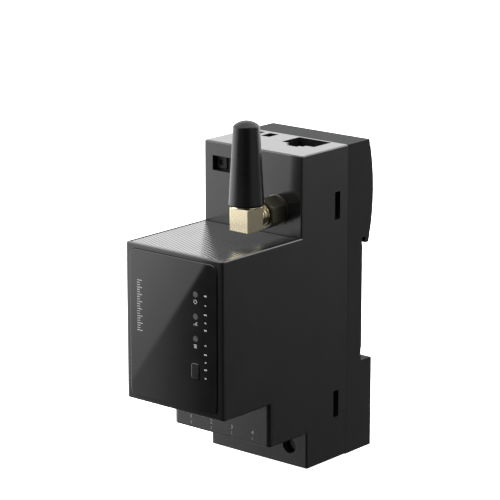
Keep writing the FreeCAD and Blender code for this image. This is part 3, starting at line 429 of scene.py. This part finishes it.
def ribbed_deck():
    """Height = wave across the ribs + a quarter of its mirror image, fading out at the eased rim."""
    low, high = (np.array(corner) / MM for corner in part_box("deck_plate"))
    x = np.linspace(low[0], high[0], 236)
    y = np.linspace(low[1], high[1], 226)
    px, py = np.meshgrid(x, y, indexing="ij")
    rim = np.minimum(np.minimum(px - low[0], high[0] - px), np.minimum(py - low[1], high[1] - py))
    along_x, along_y = px * math.sin(RIB_LEAN), py * math.cos(RIB_LEAN)
    ribs = RIB_HEIGHT * (wave(along_x + along_y) + 0.25 * wave(along_y - along_x))
    fade = np.clip((rim - PLAIN_RIM) / PLAIN_RIM, 0, 1)
    ease = EDGE_DROP * np.clip(1 - rim / EDGE_DROP, 0, 1) ** 2
    upper = np.stack([px, py, high[2] - 1.25 * RIB_HEIGHT + ribs * fade - ease], axis=-1)
    number = np.arange(px.size).reshape(px.shape)
    loop = np.concatenate([number[:-1, 0], number[-1, :-1], number[:0:-1, -1], number[0, :0:-1]])
    lower = upper.reshape(-1, 3)[loop] * (1, 1, 0) + (0, 0, low[2])
    hub = [[(low[0] + high[0]) / 2, (low[1] + high[1]) / 2, low[2]]]
    foot = px.size + np.arange(len(loop))
    skirt = np.stack([loop, foot, np.roll(foot, -1), np.roll(loop, -1)], axis=-1)
    fan = np.stack([foot, np.full(len(loop), foot[-1] + 1), np.roll(foot, -1)], axis=-1)
    points = np.concatenate([upper.reshape(-1, 3), lower, hub])
    faces = grid_faces(*px.shape).tolist() + skirt.tolist() + fan.tolist()
    return piece("ribbed_deck", "meter", points, faces, sharp=50, stands_for=("deck_plate",))


ribbed_deck()

# %% [markdown]
# ## Printed marks
# Marks are printed on the front panel: a scale at the left, a symbol under each light, a dotted
# guide line at the right, and numbers for the four terminals on the shelf. Print is a film of ink,
# so each mark is a very thin slab that stands a hundredth of a millimetre proud of the surface.


# %% Bars and rings of ink
def bars(name, rows, front, slot="light_pin"):
    """Thin slabs from rows of (x, z, half width, half height), eight corners and six faces each."""
    rows = np.asarray(rows, float)
    sign = np.array([(a, b, c) for a in (-1, 1) for b in (-1, 1) for c in (-1, 1)])
    points = np.empty((len(rows), 8, 3))
    points[..., 0] = rows[:, :1] + rows[:, 2:3] * sign[:, 0]
    points[..., 1] = front + INK / 2 * sign[:, 1]
    points[..., 2] = rows[:, 1:2] + rows[:, 3:4] * sign[:, 2]
    cube = np.array([(0, 1, 3, 2), (4, 6, 7, 5), (0, 4, 5, 1), (2, 3, 7, 6), (0, 2, 6, 4), (1, 5, 7, 3)])
    faces = (cube + 8 * np.arange(len(rows))[:, None, None]).reshape(-1, 4)
    return piece(name, "meter", points.reshape(-1, 3), faces, slot=slot)


def ring_mark(name, x, z, radius, stroke, front):
    """A flat ring: its small rectangular section carried round the point (x, z)."""
    turn = np.arange(40) * 2 * math.pi / 40
    near, far = front - INK / 2, front + INK / 2
    section = np.array([(radius - stroke, far), (radius, far), (radius, near), (radius - stroke, near)])
    across, up = section[:, :1] * np.cos(turn), section[:, :1] * np.sin(turn)
    lines = np.broadcast_to(section[:, 1:], across.shape)
    points = np.stack([x + across, lines, z + up], axis=-1).reshape(-1, 3)
    return piece(name, "meter", points, grid_faces(4, 40, True, True), slot="light_pin")


INK = 0.02
PANEL_FRONT = -61.70
SHELF_FRONT = -41.45
LIGHT_X = 8.25
LIGHT_Z = (12.0, 5.7, -0.6)
marks = []
print("ink is", INK, "mm thick")

# %% Scale, symbols and guide line
scale_z = np.linspace(12.5, -1.9, 22)
scale_half = np.where(np.arange(22) % 3 == 0, 0.95, 0.55)
scale = np.stack([-13.2 + scale_half, scale_z, scale_half, np.full(22, 0.13)], axis=-1)
marks.append(bars("scale_marks", scale, PANEL_FRONT))
guide_z = np.array([12.1, 9.4, 6.8, 4.5, 2.4, -1.9, -4.5, -6.7, -8.8, -11.2])
guide_half = np.tile([0.5, 0.28], 5)
guide = np.stack([np.full(10, 11.9), guide_z, guide_half, np.full(10, 0.2)], axis=-1)
marks.append(bars("guide_marks", guide, PANEL_FRONT))
symbol_z = np.array(LIGHT_Z) - 2.05
marks.append(ring_mark("symbol_ring", LIGHT_X, symbol_z[0], 0.62, 0.17, PANEL_FRONT))
symbol_bars = [
    (LIGHT_X, symbol_z[0] + 0.35, 0.09, 0.3),
    (LIGHT_X - 0.5, symbol_z[1] - 0.3, 0.1, 0.2),
    (LIGHT_X, symbol_z[1] - 0.1, 0.1, 0.4),
    (LIGHT_X + 0.5, symbol_z[1] + 0.1, 0.1, 0.6),
    (LIGHT_X, symbol_z[2] + 0.35, 0.5, 0.12),
    (LIGHT_X, symbol_z[2] - 0.05, 0.5, 0.12),
    (LIGHT_X, symbol_z[2] - 0.45, 0.5, 0.12),
]
marks.append(bars("symbol_bars", symbol_bars, PANEL_FRONT))
tick_x = np.array([-11.4, -3.75, 3.9, 11.55])
ticks = np.stack([tick_x, np.full(4, -33.75), np.full(4, 0.09), np.full(4, 0.45)], axis=-1)
marks.append(bars("terminal_ticks", ticks, SHELF_FRONT))


# %% Terminal numbers
def number_mark(text, x, z, height=1.9):
    """A font outline made a mesh, then stood up: its (X, Y, Z) becomes (x + X, front - Z, z + Y)."""
    curve = bpy.data.curves.new("number", "FONT")
    curve.body = text
    curve.size = height
    curve.extrude = INK / 2
    curve.resolution_u = 6
    curve.align_x = "CENTER"
    curve.align_y = "CENTER"
    holder = bpy.data.objects.new("number", curve)
    bpy.context.scene.collection.objects.link(holder)
    flat = bpy.data.meshes.new_from_object(holder)
    corners = np.empty(len(flat.vertices) * 3)
    flat.vertices.foreach_get("co", corners)
    corners = corners.reshape(-1, 3)
    stood = np.stack([x + corners[:, 0], SHELF_FRONT - corners[:, 2], z + corners[:, 1]], axis=-1)
    faces = [list(face.vertices) for face in flat.polygons]
    bpy.data.objects.remove(holder)
    return piece("terminal_number_" + text, "meter", stood, faces, slot="light_pin")


for count, x in enumerate(tick_x, 1):
    marks.append(number_mark(str(count), x, -32.0))

# %% [markdown]
# ## How a finish is built
# Every finish is a Principled shader fed by soft random patterns in object coordinates, so it has no
# seams and does not slide when a part moves. One pattern shifts the colour a little, one shifts the
# roughness, and a fine one raises the grain. A single flat colour would look like plastic toy paint.


# %% Shader helpers
def add(tree, kind, inputs=None, **settings):
    """Adds a shader node; an input is a plain value or another node's output."""
    made = tree.nodes.new("ShaderNode" + kind)
    for key, value in settings.items():
        setattr(made, key, value)
    for key, value in (inputs or {}).items():
        if isinstance(value, bpy.types.NodeSocket):
            tree.links.new(value, made.inputs[key])
        else:
            made.inputs[key].default_value = value
    return made


def begin(name):
    """A material with an empty Principled shader, and its object coordinates."""
    material = bpy.data.materials.new(name)
    material.use_nodes = True
    tree = material.node_tree
    tree.nodes.clear()
    shader = add(tree, "BsdfPrincipled")
    add(tree, "OutputMaterial", {"Surface": shader.outputs[0]})
    return material, tree, shader, add(tree, "TexCoord").outputs["Object"]


def cloud(tree, place, size, detail=3.0, stretch=(1, 1, 1), offset=(0, 0, 0)):
    """Soft random pattern from 0 to 1 whose blotches are about size millimetres wide."""
    at = add(tree, "Mapping", {"Vector": place, "Scale": stretch, "Location": offset})
    settings = {"Vector": at.outputs[0], "Scale": 1000 / size, "Detail": detail}
    return add(tree, "TexNoise", settings).outputs[0]


def spread(tree, pattern, low, high, start=0.35, stop=0.65):
    """Stretches the middle of a pattern to run from low to high."""
    limits = {"Value": pattern, "From Min": start, "From Max": stop, "To Min": low, "To Max": high}
    return add(tree, "MapRange", limits).outputs[0]


def between(tree, share, one, other):
    """Mixes two colours by a pattern."""
    mix = add(tree, "Mix", {0: share, 6: (*one, 1), 7: (*other, 1)}, data_type="RGBA")
    return mix.outputs[2]


def raised(tree, height, depth, under=None, strength=1.0):
    """Turns a pattern into relief, depth millimetres high, on top of another relief if one is given."""
    inputs = {"Height": height, "Strength": strength, "Distance": depth * MM}
    if under is not None:
        inputs["Normal"] = under
    return add(tree, "Bump", inputs).outputs[0]


print("shader helpers ready")

# %% [markdown]
# ## Moulded black case
# The housing is sprayed from a spark-eroded mould: an even, very fine grain with a low sheen. Two
# sizes of grain are raised, the sheen drifts by a few hundredths over centimetres, and the black is
# a little lighter where the skin is thinner. The flat front of the nose, round the panel, is polished.
# The base, latch and terminals use the same recipe without that polish.


# %% Moulded plastic
def moulded(name, colour, rough, grain, depth, specular=0.5, polished_from=1.0):
    """Grainy plastic, with grain size and depth in millimetres, polished where -y passes a limit."""
    material, tree, shader, place = begin(name)
    drift = cloud(tree, place, 14.0, 2.0)
    speck = cloud(tree, place, 0.7, 2.0, offset=(3, 1, 2))
    pale = tuple(1.08 * c for c in colour)
    deep = tuple(0.93 * c for c in colour)
    tone = between(tree, spread(tree, drift, 0.0, 1.0, 0.2, 0.8), deep, pale)
    tone_fine = add(tree, "Mix", {0: 0.25, 6: tone, 7: between(tree, speck, deep, pale)}, data_type="RGBA")
    tree.links.new(tone_fine.outputs[2], shader.inputs["Base Color"])
    depth_of = add(tree, "SeparateXYZ", {0: place}).outputs["Y"]
    matt = spread(tree, depth_of, 0.0, 1.0, -polished_from - 0.00004, -polished_from + 0.00004)
    sheen = spread(tree, cloud(tree, place, 9.0, 2.0), rough - 0.012, rough + 0.012, 0.2, 0.8)
    mixed = add(tree, "Mix", {0: matt, 2: 0.045, 3: sheen}, data_type="FLOAT")
    tree.links.new(mixed.outputs[0], shader.inputs["Roughness"])
    coarse = raised(tree, cloud(tree, place, grain, 2.0), depth, None, matt)
    fine = raised(tree, cloud(tree, place, grain / 3, 2.0, offset=(1, 5, 2)), depth / 3, coarse, matt)
    tree.links.new(fine, shader.inputs["Normal"])
    gloss = add(tree, "Mix", {0: matt, 2: 0.38, 3: specular}, data_type="FLOAT")
    tree.links.new(gloss.outputs[0], shader.inputs["Specular IOR Level"])
    return material


case_black = moulded("case_black", (0.011, 0.0114, 0.0118), 0.2, 0.35, 0.003, 0.7, 0.06125)
base_black = moulded("base_black", (0.010, 0.0104, 0.0108), 0.55, 0.4, 0.007, 0.08)
terminal_black = moulded("terminal_black", (0.006, 0.006, 0.0063), 0.5, 0.5, 0.006, 0.25)
socket_black = moulded("socket_black", (0.012, 0.012, 0.013), 0.35, 0.6, 0.003)
white_insulator = moulded("white_insulator", (0.72, 0.71, 0.68), 0.35, 0.8, 0.003)
lead_sleeve = moulded("lead_sleeve", (0.03, 0.03, 0.032), 0.4, 0.8, 0.004)
print("moulded plastics ready")

# %% [markdown]
# ## Polished panel, deck and button
# The panel is lacquered or moulded in a mirror-polished cavity, so it reflects like dark glass. What
# separates it from a perfect mirror is a very slow waviness, tiny dust specks in the finish, and about
# a hundredth of haze. The deck is hazier, under a thin clear coat, and the button lies between them.


# %% Polished plastic
def polished(name, colour, rough, wave_depth, specular=0.5, coat=0.0):
    """Mirror-like dark plastic with slow waves, haze that drifts, and sparse dust."""
    material, tree, shader, place = begin(name)
    haze = cloud(tree, place, 9.0, 4.0)
    dust = add(tree, "TexVoronoi", {"Vector": place, "Scale": 900.0, "Randomness": 1.0})
    speck = spread(tree, dust.outputs["Distance"], 1.0, 0.0, 0.0, 0.09)
    rare = spread(tree, cloud(tree, place, 2.2, 1.0), 0.0, 1.0, 0.62, 0.66)
    seen = add(tree, "Math", {0: speck, 1: rare}, operation="MULTIPLY").outputs[0]
    tone = between(tree, spread(tree, haze, 0.0, 1.0), colour, tuple(1.35 * c for c in colour))
    dusted = add(tree, "Mix", {0: seen, 6: tone, 7: (0.12, 0.12, 0.12, 1)}, data_type="RGBA")
    tree.links.new(dusted.outputs[2], shader.inputs["Base Color"])
    dull = add(tree, "Math", {0: seen, 1: 0.3}, operation="MULTIPLY").outputs[0]
    drift = spread(tree, haze, rough, 1.4 * rough + 0.004)
    total = add(tree, "Math", {0: drift, 1: dull}, operation="ADD").outputs[0]
    tree.links.new(total, shader.inputs["Roughness"])
    tree.links.new(raised(tree, cloud(tree, place, 18.0, 0.0), wave_depth), shader.inputs["Normal"])
    shader.inputs["Specular IOR Level"].default_value = specular
    shader.inputs["Coat Weight"].default_value = coat
    shader.inputs["Coat IOR"].default_value = 1.8
    shader.inputs["Coat Roughness"].default_value = 0.1
    return material


panel_gloss = polished("panel_gloss", (0.006, 0.0062, 0.0066), 0.012, 0.002, 0.4)
deck_gloss = polished("deck_gloss", (0.012, 0.0122, 0.0126), 0.15, 0.004, 0.5, 0.2)
button_gloss = polished("button_gloss", (0.008, 0.0082, 0.0086), 0.05, 0.003)
print("polished plastics ready")

# %% [markdown]
# ## Plated and bare metals
# The antenna's parts are brass with a thin pale gold plating, milled before plating, so faint tool
# lines run through the shine. Handling leaves slightly duller patches. The same recipe with other
# colours gives zinc-plated screws, tinned contacts and spring wire, and a darkened gold for the nut and
# washer, which is painted shade for the shadow they sit in.


# %% Metals
def plated(name, colour, rough, lines=(1, 1, 1), depth=0.001, tarnish=0.86):
    """Metal with fine tool lines stretched along one direction, and duller, darker patches."""
    material, tree, shader, place = begin(name)
    patch = cloud(tree, place, 2.4, 3.0)
    dark = tuple(tarnish * c for c in colour)
    tree.links.new(between(tree, spread(tree, patch, 0.0, 1.0), colour, dark), shader.inputs["Base Color"])
    scratch = cloud(tree, place, 0.25, 2.0, lines)
    tree.links.new(spread(tree, patch, rough - 0.01, rough + 0.02), shader.inputs["Roughness"])
    tree.links.new(raised(tree, scratch, depth), shader.inputs["Normal"])
    shader.inputs["Metallic"].default_value = 1.0
    return material


gilt = plated("gilt", (0.68, 0.60, 0.42), 0.17, (1, 1, 0.05), 0.00006, 0.95)
# The nut and washer get the gold darkened about four times: painted shade for the shadow they sit in.
nut_gilt = plated("nut_gilt", (0.17, 0.155, 0.12), 0.34, (1, 0.1, 1), 0.0001, 0.92)
screw_zinc = plated("screw_zinc", (0.55, 0.55, 0.54), 0.3, (1, 1, 1), 0.002)
tinned = plated("tinned", (0.66, 0.65, 0.62), 0.28, (1, 0.2, 1), 0.002)
spring_wire = plated("spring_wire", (0.42, 0.42, 0.43), 0.25, (1, 1, 1), 0.001)
copper_wire = plated("copper_wire", (0.72, 0.36, 0.2), 0.25, (1, 1, 0.1), 0.001)
capacitor_can = plated("capacitor_can", (0.5, 0.52, 0.55), 0.3, (1, 1, 0.1), 0.001)
print("metals ready")

# %% [markdown]
# ## Rubber sleeve
# The sleeve is a soft moulded rubber with a satin skin: broad highlights, a trace of bloom in
# patches, and a parting line's worth of unevenness. It is rougher than the case but smoother to the
# touch, so its grain is low and its sheen wide.


# %% Rubber
def rubber(name, colour, rough, specular=0.2):
    """Satin rubber: bloom lightens it in patches, and a low grain breaks the highlight."""
    material, tree, shader, place = begin(name)
    bloom = cloud(tree, place, 6.0, 4.0, (1, 1, 0.4))
    tone = between(tree, spread(tree, bloom, 0.0, 1.0), colour, tuple(1.5 * c for c in colour))
    tree.links.new(tone, shader.inputs["Base Color"])
    tree.links.new(spread(tree, bloom, rough - 0.03, rough + 0.05), shader.inputs["Roughness"])
    tree.links.new(raised(tree, cloud(tree, place, 0.3, 2.0), 0.002), shader.inputs["Normal"])
    shader.inputs["Specular IOR Level"].default_value = specular
    return material


antenna_rubber = rubber("antenna_rubber", (0.007, 0.007, 0.0073), 0.3)
print("rubber ready")

# %% [markdown]
# ## Inside parts, lights and ink
# The circuit boards, chips and wound parts show only through the openings, but they still get their
# own finish: lacquered green boards in two blotchy greens, matt black chips, a taped winding. The light
# pins are frosted, and the ink is a slightly uneven off-white.


# %% Boards, chips, ferrite, winding and the rest
def speckled(name, colour, other, rough, size, depth=0.002, **sockets):
    """Two colours mixed in blotches of one size, with a matching relief."""
    material, tree, shader, place = begin(name)
    pattern = cloud(tree, place, size, 3.0)
    tone = between(tree, spread(tree, pattern, 0.0, 1.0), colour, other)
    tree.links.new(tone, shader.inputs["Base Color"])
    tree.links.new(spread(tree, pattern, rough - 0.04, rough + 0.06), shader.inputs["Roughness"])
    tree.links.new(raised(tree, pattern, depth), shader.inputs["Normal"])
    for key, value in sockets.items():
        shader.inputs[key.replace("_", " ")].default_value = value
    return material


board_green = speckled("board_green", (0.01, 0.09, 0.035), (0.016, 0.13, 0.05), 0.3, 1.2)
chip_black = speckled("chip_black", (0.018, 0.018, 0.019), (0.03, 0.03, 0.031), 0.5, 0.4)
ferrite = speckled("ferrite", (0.03, 0.03, 0.033), (0.055, 0.055, 0.06), 0.6, 0.5)
winding_tape = speckled("winding_tape", (0.55, 0.42, 0.05), (0.62, 0.5, 0.08), 0.35, 3.0)
surge_blue = speckled("surge_blue", (0.02, 0.07, 0.22), (0.03, 0.1, 0.3), 0.3, 1.5)
lamp_white = speckled("lamp_white", (0.7, 0.69, 0.62), (0.8, 0.79, 0.72), 0.3, 0.6)
light_pin = speckled("light_pin", (0.014, 0.0145, 0.015), (0.028, 0.0285, 0.029), 0.3, 0.35, 0.003)
ink = speckled("ink", (0.36, 0.365, 0.37), (0.46, 0.465, 0.47), 0.5, 0.3, 0.001)
print("inside finishes ready")

# %% [markdown]
# ## Who wears what
# The record names a finish for every CAD node, so one table from finish name to material dresses
# all of them, new pieces included, because a new piece stands for a node and takes its finish.

# %% Dress every piece
wardrobe = {
    "case_black": case_black,
    "base_black": base_black,
    "panel_gloss": panel_gloss,
    "deck_gloss": deck_gloss,
    "light_pin": light_pin,
    "button_gloss": button_gloss,
    "board_green": board_green,
    "tinned": tinned,
    "screw_zinc": screw_zinc,
    "gilt": gilt,
    "nut_gilt": nut_gilt,
    "antenna_rubber": antenna_rubber,
    "white_insulator": white_insulator,
    "socket_black": socket_black,
    "terminal_grey": terminal_black,
    "ferrite": ferrite,
    "copper_wire": winding_tape,
    "chip_black": chip_black,
    "capacitor_can": capacitor_can,
    "surge_blue": surge_blue,
    "lamp_white": lamp_white,
    "lead_sleeve": lead_sleeve,
    "spring_wire": spring_wire,
}
# Both washers take the darkened gold, painted shade like the nut.
own_finish = {"whip_element": copper_wire, "jack_washer": nut_gilt, "washer": nut_gilt}


def dress(shown, material):
    """Puts one material in every slot of an object, and makes a slot if it has none."""
    if not shown.material_slots:
        shown.data.materials.append(material)
    for place in shown.material_slots:
        place.material = material


for name, node in nodes.items():
    dress(node, own_finish.get(name, wardrobe[slot_of[name]]))
for made in [o for o in bpy.data.objects if o.type == "MESH" and o.name not in nodes]:
    dress(made, ink if made in marks else own_finish.get(made.name, wardrobe[made["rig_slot"]]))
print(len(bpy.data.materials), "materials")

# %% [markdown]
# ## Studio light
# The light is one huge bright card on the left, behind and above, that ends in a straight edge, and
# dim surroundings elsewhere. The straight edge gives the glossy panel its slanting line, and the
# grainy case a soft change from left to right. A world shader can say this exactly: it compares each
# direction with the card's middle, and is bright where they are less than a right angle apart. Below
# the card stands a paler wall on the left, and a small soft box on the right lights the sleeve's edge.
# Little light comes from below, so the lower edges stay dark.

# %% World
CARD = (-0.726, 0.453, 0.518)
REAR_RIGHT = (0.85, 0.35, 0.0)
FRONT_RIGHT = (0.72, -0.69, 0)
LEFT_WALL = (-0.743, 0.670, 0)
LEFT, RIGHT, UP = (-1, 0, 0), (1, 0, 0), (0, 0, 1)
world = bpy.data.worlds.new("studio")
bpy.context.scene.world = world
world.use_nodes = True
sky = world.node_tree
sky.nodes.clear()
toward = add(sky, "TexCoord").outputs["Generated"]


def facing(direction):
    """How far the light's direction leans towards another one, as a dot product."""
    return add(sky, "VectorMath", {0: toward, 1: direction}, operation="DOT_PRODUCT").outputs["Value"]


def step(value, start, stop, low, high):
    """Runs smoothly from low to high while the value goes from start to stop."""
    limits = {"Value": value, "From Min": start, "From Max": stop, "To Min": low, "To Max": high}
    return add(sky, "MapRange", limits, interpolation_type="SMOOTHSTEP").outputs[0]


def combine(one, other, operation):
    """Adds or multiplies two brightnesses."""
    return add(sky, "Math", {0: one, 1: other}, operation=operation).outputs[0]


lean = facing(CARD)
height = facing(UP)
near = combine(step(lean, 0.0, 0.03, 1.6, 2.65), step(lean, 0.03, 0.3, 0.0, 1.2), "ADD")
level = combine(near, step(lean, 0.45, 0.85, 0.0, 1.95), "SUBTRACT")
card = combine(step(lean, -0.001, 0.001, 0, 1), level, "MULTIPLY")
upward = step(height, -0.30, -0.12, 0.25, 1.5)
room = combine(step(facing(REAR_RIGHT), 0.2, 1.0, 0.20, 0.34), upward, "MULTIPLY")
leftward = step(facing(LEFT), 0.1, 0.4, 0, 1)
wall = combine(step(facing(LEFT_WALL), -0.019, 0.022, 0.0, 1.1), leftward, "MULTIPLY")
box = combine(step(facing(RIGHT), 0.88, 0.93, 0.0, 0.6), step(height, -0.3, -0.1, 0, 1), "MULTIPLY")
gap = step(facing(FRONT_RIGHT), 0.75, 0.95, 1, 0.1)
far_side = combine(combine(combine(room, gap, "MULTIPLY"), wall, "ADD"), box, "ADD")
off_card = step(lean, -0.001, 0.001, 1, 0)
glow = combine(card, combine(far_side, off_card, "MULTIPLY"), "ADD")
dim_below = combine(glow, step(height, -0.52, -0.38, 0.12, 1.0), "MULTIPLY")
light = add(sky, "Background", {"Color": (1, 1, 1, 1), "Strength": dim_below})
add(sky, "OutputWorld", {"Surface": light.outputs[0]})
bpy.context.scene.view_settings.view_transform = "Standard"
print("card faces", CARD)

# %% [markdown]
# ## Floor and camera
# The floor is a plain pale sheet that only the camera sees, so that it neither colours the case from
# below nor catches a hard shadow. The camera stands to the right of the front and a little above,
# with a long lens, as in a catalogue picture.

# %% Floor
FLOOR_Z = -49.3 * MM
corners = np.array([(-6, -6), (6, -6), (6, 6), (-6, 6)], float)
floor_mesh = bpy.data.meshes.new("floor")
floor_mesh.from_pydata(np.column_stack([corners, np.full(4, FLOOR_Z)]).tolist(), [], [(0, 1, 2, 3)])
floor = bpy.data.objects.new("floor", floor_mesh)
bpy.context.scene.collection.objects.link(floor)
paper, _, paper_shader, _ = begin("paper")
paper_shader.inputs["Base Color"].default_value = (0.9, 0.9, 0.9, 1)
paper_shader.inputs["Emission Color"].default_value = (1, 1, 1, 1)
paper_shader.inputs["Emission Strength"].default_value = 1.2
floor_mesh.materials.append(paper)
floor.visible_diffuse = False
floor.visible_glossy = False
floor.visible_transmission = False
floor.visible_shadow = False
print("floor at", FLOOR_Z)

# %% Camera
CAMERA_AT = (439.582, -551.292, 192.431)
CAMERA_TARGET = (-0.13, -28.6, 16.559)
camera_data = bpy.data.cameras.new("catalogue_camera")
camera_data.lens = 179.395
camera_data.sensor_width = 36.0
camera_data.clip_start = 0.01
camera_data.clip_end = 20.0
camera = bpy.data.objects.new("catalogue_camera", camera_data)
bpy.context.scene.collection.objects.link(camera)
camera.location = Vector(CAMERA_AT) * MM
aim = Vector(CAMERA_TARGET) * MM - camera.location
camera.rotation_euler = aim.to_track_quat("-Z", "Y").to_euler()
bpy.context.scene.camera = camera
print("camera", round(aim.length / MM), "mm from its target")
